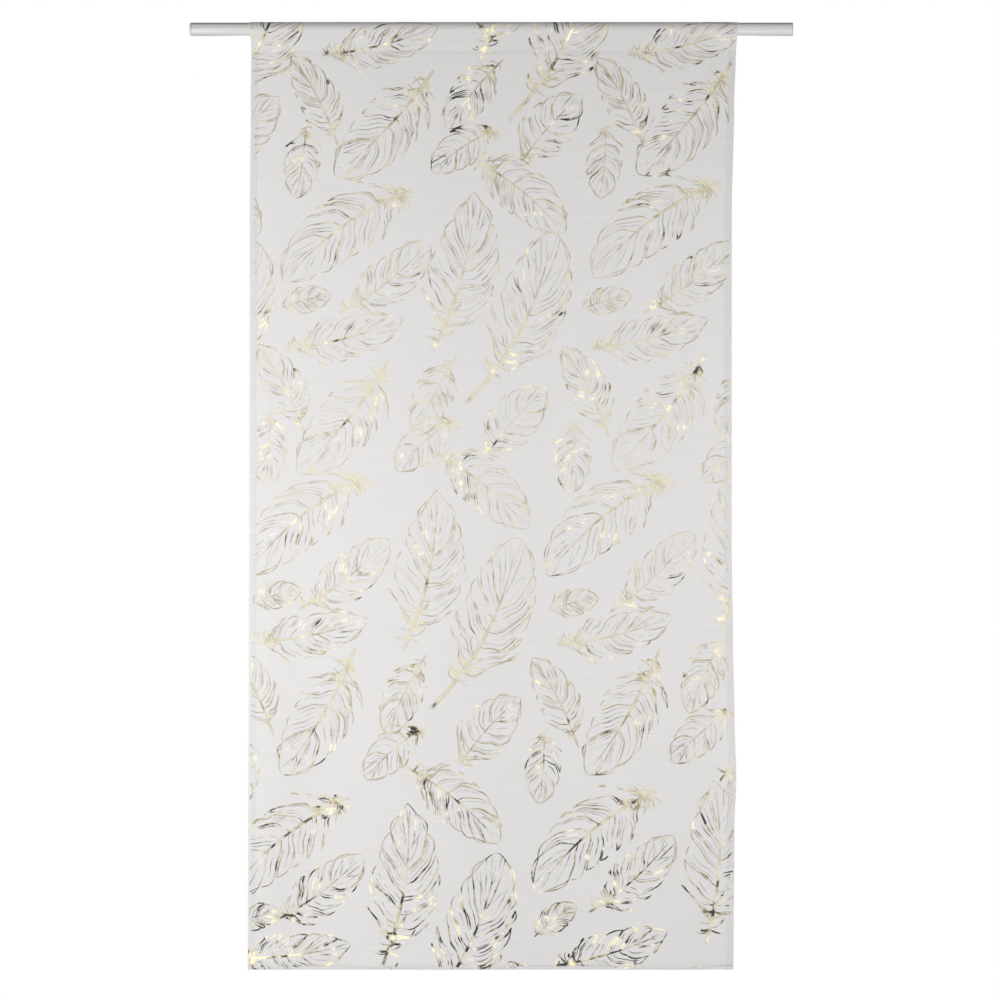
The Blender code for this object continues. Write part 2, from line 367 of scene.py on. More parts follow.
def moulded_polyethylene():
    """Polyethylene plug, injection moulded in grey: a soft satin skin with a fine spark-eroded grain."""
    material, tree = new_material("moulded_polyethylene")
    place = add_node(tree, "ShaderNodeTexCoord").outputs["Object"]
    grain = add_node(tree, "ShaderNodeTexNoise", {"Vector": place, "Scale": 1400.0, "Detail": 2.0})
    colour = ramp(tree, grain.outputs["Fac"], ((0.3, "#A9A9A7"), (0.7, "#B2B2B0")))
    bump = add_node(tree, "ShaderNodeBump", {
        "Height": grain.outputs["Fac"], "Strength": 0.2, "Distance": 0.05 * MM})
    plastic = add_node(tree, "ShaderNodeBsdfPrincipled", {
        "Base Color": colour, "Roughness": 0.45, "IOR": 1.51, "Normal": bump.outputs[0]})
    add_node(tree, "ShaderNodeOutputMaterial", {"Surface": plastic.outputs[0]})
    return material


# -------------------------------- making pieces

def add_piece(name, mesh, material):
    """Puts a finished mesh in the scene as a piece of the curtain."""
    mesh.materials.clear()
    mesh.materials.append(material)
    piece = bpy.data.objects.new(name, mesh)
    bpy.context.scene.collection.objects.link(piece)
    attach(piece, "root")
    return piece


def mesh_from(bm, name, smooth=True):
    """Ends a bmesh: its mesh, shaded smooth unless told otherwise."""
    mesh = bpy.data.meshes.new(name)
    bm.to_mesh(mesh)
    bm.free()
    if smooth:
        mesh.shade_smooth()
    return mesh


# -------------------------------- cloth

PANEL_STEP = 7 * MM  # between two columns of the face
ROW_STEP = 14 * MM  # between two of its rows
FOLD_STEPS = 4  # round the fold of a hem
ARC_STEPS = 30  # over the rod
SLOPE_STEPS = 7  # up each slope of the pocket


def cloth_columns():
    """Each column of the cloth: share of the way from left to right edge, inset from there, depth behind."""
    fold = LAYER / 2
    turned = [(SIDE_HEM, LAYER), (SIDE_HEM / 2, LAYER), (4 * fold, LAYER)]
    for step in range(FOLD_STEPS + 1):
        angle = math.pi * (0.5 - step / FOLD_STEPS)
        turned.append((fold * (1 - math.cos(angle)), fold * (1 + math.sin(angle))))
    left = [(0.0, inset, depth) for inset, depth in turned]
    right = [(1.0, -inset, depth) for inset, depth in reversed(turned)]
    width = PANEL_HIGH[0] - PANEL_LOW[0]
    count = round(width / PANEL_STEP)
    face = [(step / count, 0.0, 0.0) for step in range(1, count)]
    return left + face + right


def cloth_runs():
    """The runs of the cloth's rows, from the inner edge of the bottom hem up and over the rod."""
    fold_end = FACE_RUN + math.pi * BOTTOM_FOLD
    runs = [HEM_RUN, (HEM_RUN + fold_end) / 2]
    runs += [fold_end - math.pi * BOTTOM_FOLD * step / FOLD_STEPS for step in range(FOLD_STEPS + 1)]
    near_seam = [12 * MM, 6 * MM, 2.5 * MM, 0.0]
    count = round((FACE_RUN - near_seam[0]) / ROW_STEP)
    step_down = (FACE_RUN - near_seam[0]) / count
    runs += [FACE_RUN - step_down * step for step in range(1, count)]
    runs += near_seam
    runs += [-SLOPE * step / SLOPE_STEPS for step in range(1, SLOPE_STEPS)]
    runs += [-SLOPE - ARC * step / ARC_STEPS for step in range(ARC_STEPS + 1)]
    runs += [-SLOPE - ARC - SLOPE * step / SLOPE_STEPS for step in range(1, SLOPE_STEPS + 1)]
    return runs + [-LOOP - SEAM_ALLOWANCE]


def make_cloth(material):
    """The whole cloth: a grid laid out by its columns and runs, then given its thickness."""
    columns = cloth_columns()
    runs = cloth_runs()
    bm = bmesh.new()
    bmesh.ops.create_grid(bm, x_segments=len(columns) - 1, y_segments=len(runs) - 1, size=0.5)
    for vertex in bm.verts:
        share, inset, depth = columns[round((vertex.co.x + 0.5) * (len(columns) - 1))]
        run = runs[round((vertex.co.y + 0.5) * (len(runs) - 1))]
        drop = -hang(run)[1]
        left, right = edges_at(drop)
        vertex.co = on_cloth(left + (right - left) * share + inset, run, -depth)
    cloth = add_piece("curtain_cloth", mesh_from(bm, "curtain_cloth"), material)
    solid = cloth.modifiers.new("thickness", "SOLIDIFY")
    solid.thickness = CLOTH
    solid.offset = 0.0
    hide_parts("curtain_panel", "rod_pocket")
    return cloth


# -------------------------------- flat strokes laid on the cloth

def lay_strokes(name, strokes, height, material):
    """Makes a piece of fine strokes on the cloth's face.

    Each stroke is a list of (across, run, half width). height is a stroke's height as a share of its width.
    """
    curve = bpy.data.curves.new(name, "CURVE")
    curve.dimensions = "3D"
    curve.twist_mode = "Z_UP"
    curve.resolution_u = 1
    curve.bevel_depth = 1.0
    curve.bevel_resolution = 0
    curve.use_fill_caps = True
    for stroke in strokes:
        spline = curve.splines.new("POLY")
        spline.points.add(len(stroke) - 1)
        for point, (across, run, half_width) in zip(spline.points, stroke):
            point.co = (across, -run, 0.0, 1.0)
            point.radius = half_width
    holder = bpy.data.objects.new(name + "_lines", curve)
    mesh = bpy.data.meshes.new_from_object(holder)
    bpy.data.objects.remove(holder)
    bpy.data.curves.remove(curve)
    mesh.name = name
    for vertex in mesh.vertices:
        across, down, up = vertex.co
        vertex.co = on_cloth(across, -down, FOIL_LIFT + up * height)
    mesh.shade_flat()
    return add_piece(name, mesh, material)


# -------------------------------- foil print

FOIL_LIFT = CLOTH / 2 + 0.1 * MM
FOIL_HEIGHT = 0.06  # a stroke's height as a share of its width
REPEAT_ACROSS = 644  # millimetres from one column of the print to the next

COLUMNS = range(-2, 3)
PRINT_SIDE = 520  # a feather further out than this has no part on the cloth, in millimetres
PRINT_TOP = -100  # nor has one that ends above this drop
BARE_BACK = 2 * MM  # the print stops this far above the seam behind the pocket
LONGEST_ON_POCKET = 2.5 * MM  # between two points of a stroke, so that it follows the pocket's bend
LONGEST_ON_FACE = 12 * MM

# The rows of the print as they lie on the cloth, in millimetres: sideways shift and drop from the third row.
ROWS = ((148, -1246), (74, -627), (0, 0), (-50, 655))

# How wide the unprinted strip beside each edge is.
MARGINS = (
    Sides(0.00, 0.003, 0.002),
    Sides(0.35, 0.006, 0.002),
    Sides(0.49, 0.010, 0.002),
    Sides(0.78, 0.016, 0.002),
    Sides(1.12, 0.008, 0.006),
    Sides(1.40, 0.003, 0.003),
    Sides(2.00, 0.002, 0.002),
)

# A feather of the print, in millimetres and degrees: where its middle lies on the repeat, which way its tip
# points (0 is right, 90 is up), and how it is drawn: how far its shaft bends, the bare share of the shaft,
# clumps of barbs to a side, tufts of down, and how its tip closes (0.6 is round, 1 is pointed).
Feather = namedtuple("Feather", "name x drop length width turn bend quill clumps tufts point")
FEATHERS = (
    Feather("broad_upright", -146, 1145, 352, 135, 81, -0.06, 0.15, 6, 5, 0.95),
    Feather("longest", -22, 1258, 412, 138, 63, -0.085, 0.26, 6, 5, 0.62),
    Feather("falling_left", -392, 1047, 340, 122, 219, -0.07, 0.10, 6, 7, 0.70),
    Feather("rising_thin", -302, 1152, 245, 90, 38, -0.05, 0.16, 5, 4, 0.60),
    Feather("small_oval", -446, 1201, 112, 54, 15, 0.05, 0.08, 4, 0, 0.60),
    Feather("lying", -385, 1270, 255, 86, 14, -0.04, 0.10, 5, 5, 0.75),
    Feather("left_leaning", 136, 1410, 215, 80, 117, -0.04, 0.14, 5, 1, 0.80),
    Feather("falling_long", -364, 1438, 310, 116, 240, 0.04, 0.15, 6, 5, 0.60),
    Feather("falling_short", -187, 1400, 190, 76, 244, -0.04, 0.14, 5, 2, 0.60),
    Feather("hanging", 115, 1565, 150, 72, 266, 0.02, 0.05, 4, 2, 0.62),
    Feather("squat", -10, 1482, 190, 100, 48, 0.04, 0.06, 5, 2, 0.85),
    Feather("fluffy_small", -205, 1530, 160, 76, 222, -0.05, 0.06, 4, 5, 0.60),
    Feather("falling_right", -70, 1640, 256, 98, 321, 0.05, 0.12, 6, 4, 0.64),
)

# The print isn't a strict repeat: these copies lie a little aside of it. Row and column of the repeat, and
# the feather's name: shift across and shift down, in millimetres, and turn, in degrees.
NUDGES = {
    (0, 0, "falling_long"): (-8, 3, -13),
    (0, 1, "falling_long"): (-19, -7, -10),
    (0, 0, "falling_short"): (7, -18, -13),
    (0, 0, "fluffy_small"): (0, -28, -8),
    (0, -1, "squat"): (-5, -22, 0),
    (0, 0, "squat"): (-10, -26, 0),
    (0, -1, "left_leaning"): (-12, -12, 0),
    (0, 0, "left_leaning"): (-10, -8, 0),
    (0, -1, "hanging"): (-21, -37, -4),
    (0, 0, "hanging"): (-27, -37, 0),
    (0, -1, "falling_right"): (-23, -44, 0),
    (0, 0, "falling_right"): (-23, -44, 0),
    (1, 0, "falling_left"): (18, 16, -4),
    (1, 1, "falling_left"): (26, 2, -2),
    (1, 0, "broad_upright"): (-9, -5, -6),
    (1, 0, "longest"): (-16, -21, 0),
    (1, 0, "small_oval"): (-21, 3, 0),
    (1, 1, "small_oval"): (-31, 5, 0),
    (1, -1, "left_leaning"): (-8, -21, 0),
    (1, 0, "left_leaning"): (-10, -16, 0),
    (1, 0, "falling_long"): (-21, 3, -9),
    (1, 1, "falling_long"): (3, -7, -9),
    (1, 0, "squat"): (-10, -26, 0),
    (1, 0, "fluffy_small"): (-8, -24, 0),
    (1, -1, "hanging"): (-17, -50, 0),
    (1, 0, "hanging"): (-18, -32, 0),
    (1, 0, "falling_right"): (-26, -40, 0),
    (2, 0, "falling_left"): (5, 0, 0),
    (2, 0, "broad_upright"): (-6, 0, -3),
    (2, 1, "broad_upright"): (0, -42, 4),
    (2, 0, "longest"): (-17, -2, 0),
    (2, 0, "rising_thin"): (-13, 0, 0),
    (2, 1, "rising_thin"): (-5, -5, 6),
    (2, 0, "small_oval"): (-10, 0, 0),
    (2, 1, "small_oval"): (-26, 16, 0),
    (2, 0, "lying"): (0, 0, -3),
    (2, -1, "left_leaning"): (0, -13, 0),
    (2, 0, "left_leaning"): (0, 13, 0),
    (2, 0, "falling_short"): (10, 5, 0),
    (2, 1, "falling_short"): (3, -42, 0),
    (2, 0, "squat"): (8, 0, 0),
    (2, 1, "fluffy_small"): (5, -35, 0),
    (2, 0, "hanging"): (-8, -5, 0),
    (2, 0, "falling_right"): (-13, -3, 0),
    (3, 0, "broad_upright"): (-8, 8, 0),
    (3, 1, "broad_upright"): (13, -38, 6),
    (3, 0, "longest"): (-8, 10, 0),
    (3, 0, "falling_left"): (13, 27, 0),
    (3, 1, "falling_left"): (22, 12, 1),
    (3, 0, "rising_thin"): (-20, 10, -2),
    (3, 1, "rising_thin"): (1, -21, 4),
    (3, 0, "lying"): (11, 21, -8),
    (3, 1, "lying"): (40, 17, 3),
    (3, 0, "small_oval"): (-5, 24, 0),
    (3, 1, "small_oval"): (-13, 29, 22),
}

# How wide the strokes are, in millimetres: the finest and the fullest of each kind.
LOWER_EDGE = (2.4, 4.0)  # of a clump of barbs
UPPER_EDGE = (2.0, 3.2)
CLUMP_RIM = (2.2, 3.5)
CLUMP_END = (3.0, 5.2)
BARB = (1.3, 2.2)
TIP_RIM = (1.9, 2.8)
TIP_BARB = (1.2, 1.9)
THIN_TUFT = (1.4, 2.4)
THICK_TUFT = (3.0, 6.0)

# Along a feather, as shares of its length.
BARB_WAVE = 0.013  # how far a barb sways off its curve
LAST_ROOT = 0.74  # the clumps of barbs grow below here, and the tip's own barbs from here on
SWEEP = 0.11  # how far ahead of its root the first barb meets the vane's edge
SWEEP_GROWTH = 0.15  # and how much further the last one does
TIP_RIM_START = 0.82  # where the rim of the closed tip starts
TIP_BARB_SWEEP = (0.12, 0.18)  # how far ahead of their roots the last barbs end
TUFT_SPREAD = 0.12  # how far up the shaft from the quill tufts of down grow

FULL_FROM = 0.22  # the vane widens up to this share of its own length
FULL_TO = 0.38  # and narrows again from here on
SHAFT_RATIO = 62  # a feather's length to the thickness of its bare shaft

# How a clump of barbs varies. A pair is the least and the most.
RAGGED_FALL = 0.85  # how much less ragged the clump at the tip is than the one at the quill
ROOT_STRAY = (-0.2, 0.2)  # of its root, as a share of the pitch between two clumps
CLUMP_GAP = (0.0, 0.8)  # to the next clump at the vane's edge, as a share of the pitch
LOWER_SWEEP = (0.8, 1.0)  # of its lower edge, as a share of the usual sweep
LOWER_SHORT = (0.10, 0.28)  # share of the vane's width that its lower edge falls short
UPPER_LONG = (0.00, 0.16)  # share of the vane's width that its upper edge goes too far
UPPER_ODDS = 0.75  # that its upper edge shows
UPPER_START = (0.0, 0.5)  # where on its way the upper edge sets in
END_ODDS, END_ODDS_RAGGED = 0.2, 0.4  # that its end is thick, and more so if it is ragged
END_START = (0.68, 0.82)  # where on its way the thick end sets in
RIM_STARTS = (0.0, 0.0, 0.45)  # where on its way the rim of a ragged clump sets in
RIM_SWELL = 0.055  # how far its rim bulges, as a share of the feather's width
INNER_COUNTS = (1, 1, 2, 2)  # fine barbs inside it
INNER_START = (0.0, 0.2)  # where on its way each of these sets in
INNER_STOP = (0.75, 1.0)  # and where it ends

# A tuft of down: its size as a share of the feather's width, and in degrees its heading and how far it curls.
TUFT_SIZE = (0.12, 0.32)
TUFT_HEADING = (55, 130)
TUFT_CURL = (10, 100)


def shaft_point(feather, along, out=0.0):
    """Where the feather's shaft is at a share of its length, moved out to one side of it."""
    def height(share):
        """How far the bent shaft lies above the straight line between its ends."""
        return feather.bend * feather.length * 4 * share * (1 - share)

    step = 0.01
    rise = height(along + step) - height(along)
    run = step * feather.length
    length = math.hypot(rise, run)
    x = (along - 0.5) * feather.length - rise / length * out
    return x, height(along) + run / length * out


def vane_width(feather, along):
    """Half the width of the feathered part at a share of the whole length."""
    share = (along - feather.quill) / (1 - feather.quill)
    if share <= 0 or share >= 1:
        return 0.0
    base = min(1.0, (share / FULL_FROM) ** 0.65)
    tip = (1 - max(0.0, (share - FULL_TO) / (1 - FULL_TO)) ** 2.0) ** feather.point
    return feather.width / 2 * base * tip


def sweep_at(feather, root):
    """How far ahead of its root a barb meets the vane's edge, as a share of the length: more near the tip."""
    return SWEEP + SWEEP_GROWTH * (root - feather.quill) / (LAST_ROOT - feather.quill)


def barb(feather, side, root, tip, reach, start=0.0, stop=1.0, steps=8):
    """A curved and slightly wavy line from the shaft at root to the vane's edge beside tip.

    Where the shaft swells to this side, the line bends forward as it goes out. On the hollow side it is
    straighter.
    """
    forward, outward = (1.5, 1.5) if side * feather.bend > 0 else (1.05, 1.2)
    points = []
    for step in range(steps + 1):
        share = start + (stop - start) * step / steps
        wave = BARB_WAVE * math.sin(math.pi * share) * math.sin(2 * math.pi * (1.2 * share + 5 * root))
        along = root + (tip - root) * share ** forward + wave
        points.append(shaft_point(feather, along, side * reach * (1 - max(0.0, 1 - share) ** outward)))
    return points


# A clump of barbs on one side of the vane. Its lower edge runs from root to low and its upper edge from
# upper_root to high, which are shares of the feather's length. low_reach and high_reach are how far out they
# end. ragged is 1 for the loosest clump.
Clump = namedtuple("Clump", "root upper_root low high low_reach high_reach ragged")


def drawn_clump(feather, root, above, pitch, ragged, draw):
    """Draws the form of a clump between its own root and the root of the clump above."""
    gap = pitch * draw.uniform(*CLUMP_GAP) * ragged
    low = root + sweep_at(feather, root) * draw.uniform(*LOWER_SWEEP)
    high = above + sweep_at(feather, above) - gap
    low_reach = vane_width(feather, low) * (1 - draw.uniform(*LOWER_SHORT) * ragged)
    high_reach = vane_width(feather, high) * (1 + draw.uniform(*UPPER_LONG) * ragged)
    upper_root = above - 0.15 * pitch - 0.5 * gap
    return Clump(root, upper_root, low, high, low_reach, high_reach, ragged)


def clump_rim(feather, side, clump, start):
    """The vane's edge round one clump of barbs, up to the point that it ends in."""
    swell = RIM_SWELL * feather.width
    steps = 5
    points = []
    for step in range(steps + 1):
        share = start + (1 - start) * step / steps
        reach = clump.low_reach + (clump.high_reach - clump.low_reach) * share ** 1.5
        reach += swell * math.sin(math.pi * share)
        points.append(shaft_point(feather, clump.low + (clump.high - clump.low) * share, side * reach))
    return points


def clump_strokes(feather, side, clump, draw):
    """One clump: its outlines, the fine barbs inside it and its thick end, each with its width."""
    root, upper_root, low, high, low_reach, high_reach, ragged = clump
    outlines = [(barb(feather, side, root, low, low_reach), draw.uniform(*LOWER_EDGE))]
    rim_start = draw.choice(RIM_STARTS) if ragged > 0.5 else 0.0
    outlines.append((clump_rim(feather, side, clump, rim_start), draw.uniform(*CLUMP_RIM)))
    if draw.random() < UPPER_ODDS:
        upper = barb(feather, side, upper_root, high, high_reach, draw.uniform(*UPPER_START))
        outlines.append((upper, draw.uniform(*UPPER_EDGE)))
    thick = []
    if draw.random() < END_ODDS + END_ODDS_RAGGED * ragged:
        end = barb(feather, side, upper_root, high, high_reach, draw.uniform(*END_START), 1.0, 3)
        thick.append((end, draw.uniform(*CLUMP_END)))
    barbs = []
    count = draw.choice(INNER_COUNTS)
    for place in range(count):
        share = (place + draw.uniform(0.4, 0.9)) / (count + 0.3)
        inner_root = root + (upper_root - root) * share
        tip = low + (high - low) * share
        reach = low_reach + (high_reach - low_reach) * share
        start, stop = draw.uniform(*INNER_START), draw.uniform(*INNER_STOP)
        points = barb(feather, side, inner_root, tip, reach, start, stop)
        barbs.append((points, draw.uniform(*BARB)))
    return outlines, barbs, thick


def vane_strokes(feather, side, draw):
    """One side of the vane: clumps of barbs that point forward.

    The clumps stand apart at the quill and close up towards the tip. Gives their outlines, their fine barbs
    and their thick ends.
    """
    found = ([], [], [])
    first = feather.quill + 0.01
    pitch = (LAST_ROOT - 0.03 - first) / feather.clumps
    roots = [first + pitch * (clump + draw.uniform(*ROOT_STRAY)) for clump in range(feather.clumps + 1)]
    for place, (root, above) in enumerate(zip(roots, roots[1:])):
        ragged = 1 - RAGGED_FALL * (place + 0.5) / feather.clumps
        clump = drawn_clump(feather, root, above, pitch, ragged, draw)
        for kind, more in zip(found, clump_strokes(feather, side, clump, draw)):
            kind.extend(more)
    return found


def tip_strokes(feather, draw):
    """The closed end: its rim on both sides, and the last barbs, which run forward beside the shaft."""
    rims, barbs = [], []
    steps = 10
    for side in (1, -1):
        rim = []
        for step in range(steps + 1):
            along = TIP_RIM_START + (1 - TIP_RIM_START) * math.sin(math.pi / 2 * step / steps)
            rim.append(shaft_point(feather, along, side * vane_width(feather, along)))
        rims.append((rim, draw.uniform(*TIP_RIM)))
        for root in (LAST_ROOT, LAST_ROOT + 0.1):
            tip = min(0.985, root + draw.uniform(*TIP_BARB_SWEEP))
            reach = vane_width(feather, tip) * draw.uniform(0.75, 0.95)
            points = barb(feather, side, root, tip, reach, 0.0, draw.uniform(0.8, 1.0))
            barbs.append((points, draw.uniform(*TIP_BARB)))
    return rims, barbs


def shaft_strokes(feather):
    """The shaft: two edges that run together towards the tip, and the foil between them near the quill."""
    bare_width = feather.length / SHAFT_RATIO
    edge_steps, middle_steps = 14, 11
    edges = []
    for side in (1, -1):
        points = []
        for step in range(edge_steps + 1):
            share = step / edge_steps
            half_width = bare_width / 2 * (1 - share) ** 0.8
            points.append(shaft_point(feather, 0.01 + 0.92 * share, side * half_width))
        edges.append((points, 1.2 + feather.length / 400))
    middle = [shaft_point(feather, 0.02 + 0.62 * step / middle_steps) for step in range(middle_steps + 1)]
    return edges, (middle, bare_width * 0.9)


def tuft_stroke(feather, side, draw, widths):
    """A tuft of down at the quill: a short flame, thick in its middle."""
    root = feather.quill + TUFT_SPREAD * draw.uniform(-0.5, 1.0)
    size = feather.width * draw.uniform(*TUFT_SIZE)
    heading = side * math.radians(draw.uniform(*TUFT_HEADING))
    curl = -side * math.radians(draw.uniform(*TUFT_CURL))
    x, y = shaft_point(feather, root)
    points = [(x, y)]
    steps = 5
    for step in range(steps):
        angle = heading + curl * step / steps
        x += size / steps * math.cos(angle)
        y += size / steps * math.sin(angle)
        points.append((x, y))
    return points, draw.uniform(*widths)


def feather_strokes(feather, draw):
    """The outlines, the fine barbs and the thick strokes of one feather, each with its width."""
    outlines, filling = shaft_strokes(feather)
    barbs, thick = [], [filling]
    for side in (1, -1):
        for kind, more in zip((outlines, barbs, thick), vane_strokes(feather, side, draw)):
            kind.extend(more)
        outlines += [tuft_stroke(feather, side, draw, THIN_TUFT) for _ in range(feather.tufts)]
        thick += [tuft_stroke(feather, side, draw, THICK_TUFT) for _ in range(feather.tufts)]
    rims, last_barbs = tip_strokes(feather, draw)
    return outlines + rims, barbs + last_barbs, thick


def is_printed(across, run):
    """Whether the print reaches this place of the cloth."""
    if not -LOOP + BARE_BACK < run < FACE_RUN:
        return False
    drop = max(0.0, -hang(run)[1])
    left, right = edges_at(drop)
    left_margin, right_margin = look_up(MARGINS, drop, lambda share: share)
    return left + left_margin < across < right - right_margin


def with_width(points, width):
    """Gives a stroke its half widths: thin ends and a fuller middle, as a pen leaves them."""
    last = len(points) - 1
    stroke = []
    for index, (across, run) in enumerate(points):
        swell = math.sin(math.pi * (index + 0.35) / (last + 0.7)) ** 0.7
        stroke.append((across, run, width / 2 * (0.3 + 0.7 * swell)))
    return stroke


def split_long(stroke, longest):
    """Adds points where two are further apart than the cloth's bends allow."""
    finer = [stroke[0]]
    for start, end in zip(stroke, stroke[1:]):
        parts = math.ceil(math.dist(start[:2], end[:2]) / longest)
        for part in range(1, parts + 1):
            finer.append([a + (b - a) * part / parts for a, b in zip(start, end)])
    return finer


def printed_parts(stroke):
    """Cuts a stroke where it leaves the printed part of the cloth."""
    parts, kept = [], []
    for point in stroke:
        if is_printed(point[0], point[1]):
            kept.append(point)
        else:
            parts.append(kept)
            kept = []
    parts.append(kept)
    return [part for part in parts if len(part) > 1]


def laid_stroke(points, width, middle, drop, angle):
    """A stroke of a feather, laid on the cloth with the feather's middle, drop and turn."""
    sine, cosine = math.sin(angle), math.cos(angle)
    placed = []
    for x, y in points:
        across = (middle + x * cosine - y * sine) * MM
        run = (drop - x * sine - y * cosine) * MM - SEAM_DROP
        placed.append((across, run))
    stroke = with_width(placed, width * MM)
    on_pocket = min(point[1] for point in stroke) < 0
    return split_long(stroke, LONGEST_ON_POCKET if on_pocket else LONGEST_ON_FACE)


def print_row(row):
    """All strokes of one row of the repeat, on the cloth: outlines, fine barbs and thick strokes."""
    shift, lift = ROWS[row]
    found = ([], [], [])
    for column in COLUMNS:
        for feather in FEATHERS:
            aside, down, turn = NUDGES.get((row, column, feather.name), (0, 0, 0))
            middle = feather.x + shift + column * REPEAT_ACROSS + aside
            drop = feather.drop + lift + down
            reach = feather.length / 2
            if abs(middle) > PRINT_SIDE + reach or drop + reach < PRINT_TOP or drop - reach > DROP / MM:
                continue
            draw = random.Random(feather.name)
            angle = math.radians(feather.turn + turn)
            for kind, strokes in zip(found, feather_strokes(feather, draw)):
                for points, width in strokes:
                    kind.extend(printed_parts(laid_stroke(points, width, middle, drop, angle)))
    return found


def make_print(outline_foil, barb_foil, thick_foil):
    """The whole print, in three pieces for each row of the repeat."""
    kinds = (("foil_outlines", outline_foil), ("foil_barbs", barb_foil), ("foil_thick", thick_foil))
    pieces = []
    for row in range(len(ROWS)):
        for (name, foil), strokes in zip(kinds, print_row(row)):
            pieces.append(lay_strokes(f"{name}_{row + 1}", strokes, FOIL_HEIGHT, foil))
    return pieces


# -------------------------------- sewing

STITCH = 3.0 * MM  # one stitch with the gap after it
THREAD = 0.16 * MM  # radius
SEAM_INSET = 2 * MM  # of the stitches from a hem's inner edge, and from the cloth's edge where a row ends


def stitch(across, run, ahead_across, ahead_run):
    """One stitch: it comes out of the cloth, lies on it and goes in again."""
    length = 0.8 * STITCH
    points = []
    for share, thick in ((0.0, 0.5), (0.25, 1.0), (0.75, 1.0), (1.0, 0.5)):
        place = (across + ahead_across * length * share, run + ahead_run * length * share)
        points.append((*place, THREAD * thick))
    return points


def make_sewing(thread):
    """The lines of machine stitches: under the pocket, down both side hems and along the bottom hem."""
    def row_across(name, run):
        """A row from the left edge of the cloth to its right edge."""
        left, right = edges_at(SEAM_DROP + run)
        left += SEAM_INSET
        count = int((right - SEAM_INSET - left) / STITCH)
        return name, [stitch(left + STITCH * place, run, 1, 0) for place in range(count)]

    def row_down(name, side, inward):
        """A row down a side hem. side is 0 at the left and 1 at the right; inward points to the middle."""
        first = 4 * MM
        count = int((FACE_RUN - 2 * first) / STITCH)
        stitches = []
        for place in range(count):
            run = first + STITCH * place
            edge = edges_at(SEAM_DROP + run)[side]
            stitches.append(stitch(edge + inward * (SIDE_HEM - SEAM_INSET), run, 0, 1))
        return name, stitches

    rows = (
        row_across("pocket_seam", -1.5 * MM),
        row_across("bottom_seam", FACE_RUN - BOTTOM_HEM + SEAM_INSET),
        row_down("left_hem_seam", 0, 1),
        row_down("right_hem_seam", 1, -1),
    )
    return [lay_strokes(name, stitches, 1.0, thread) for name, stitches in rows]


# -------------------------------- rod

ROD_SIDES = 96
ROD_WALL = 1.2 * MM
DRAW_LINE_HEIGHT = 0.36  # where the tube's drawn line runs, as a share of the radius above the axis
DRAW_LINE_DEPTH = 0.25 * MM
SPIGOT_RADIUS = ROD_RADIUS - 1.5 * MM  # of the plug's part inside the tube, clear of its wall
PLUG_GAP = 0.3 * MM  # between the tube's end and the plug's head
SHARP_ANGLE = math.radians(40)  # an edge that turns more than this isn't shaded smooth


def make_rod(metal):
    """The tube, with the fine line that its die leaves along the front."""
    bm = bmesh.new()
    turn = Matrix.Rotation(math.pi / 2, 4, "Y")
    ring = bmesh.ops.create_circle(bm, segments=ROD_SIDES, radius=ROD_RADIUS, matrix=turn)["verts"]
    for vertex in ring:
        vertex.co.x = ROD_LOW[0]
    line = min((v for v in ring if v.co.y < 0), key=lambda v: abs(v.co.z - DRAW_LINE_HEIGHT * ROD_RADIUS))
    line.co *= Vector((1, 1 - DRAW_LINE_DEPTH / ROD_RADIUS, 1 - DRAW_LINE_DEPTH / ROD_RADIUS))
    grown = bmesh.ops.extrude_edge_only(bm, edges=bm.edges[:])["geom"]
    far = [item for item in grown if isinstance(item, bmesh.types.BMVert)]
    bmesh.ops.translate(bm, verts=far, vec=(ROD_HIGH[0] - ROD_LOW[0], 0, 0))
    bmesh.ops.recalc_face_normals(bm, faces=bm.faces[:])
    bmesh.ops.solidify(bm, geom=bm.faces[:], thickness=ROD_WALL)
    mesh = mesh_from(bm, "curtain_rod")
    mesh.set_sharp_from_angle(angle=SHARP_ANGLE)
    rod = add_piece("curtain_rod", mesh, metal)
    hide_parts("rod_tube")
    return rod


def make_plug(name, node, round_size, plastic):
    """A plug turned from its outline: the head with its rim, and the spigot inside the tube."""
    low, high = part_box(node)
    outward = -1 if low[0] < 0 else 1
    end = low[0] if outward < 0 else high[0]
    tube_end = ROD_LOW[0] if outward < 0 else ROD_HIGH[0]
    inner = high[0] if outward < 0 else low[0]
    steps = 8
    outline = [(end, 0.0)]
    for step in range(steps + 1):
        angle = math.pi / 2 * step / steps
        outline.append((end - outward * round_size * (1 - math.cos(angle)),
                        ROD_RADIUS - round_size * (1 - math.sin(angle))))
    shoulder = tube_end + outward * PLUG_GAP
    outline += [(shoulder, ROD_RADIUS), (shoulder, SPIGOT_RADIUS), (inner, SPIGOT_RADIUS), (inner, 0.0)]
    bm = bmesh.new()
    verts = [bm.verts.new((x, 0.0, radius)) for x, radius in outline]
    edges = [bm.edges.new(pair) for pair in zip(verts, verts[1:])]
    bmesh.ops.spin(bm, geom=verts + edges, cent=(0, 0, 0), axis=(1, 0, 0), angle=2 * math.pi,
                   steps=ROD_SIDES, use_merge=True)
    bmesh.ops.remove_doubles(bm, verts=bm.verts[:], dist=1e-6)
    bmesh.ops.recalc_face_normals(bm, faces=bm.faces[:])
    mesh = mesh_from(bm, name)
    mesh.set_sharp_from_angle(angle=SHARP_ANGLE)
    plug = add_piece(name, mesh, plastic)
    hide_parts(node)
    return plug


# -------------------------------- stage

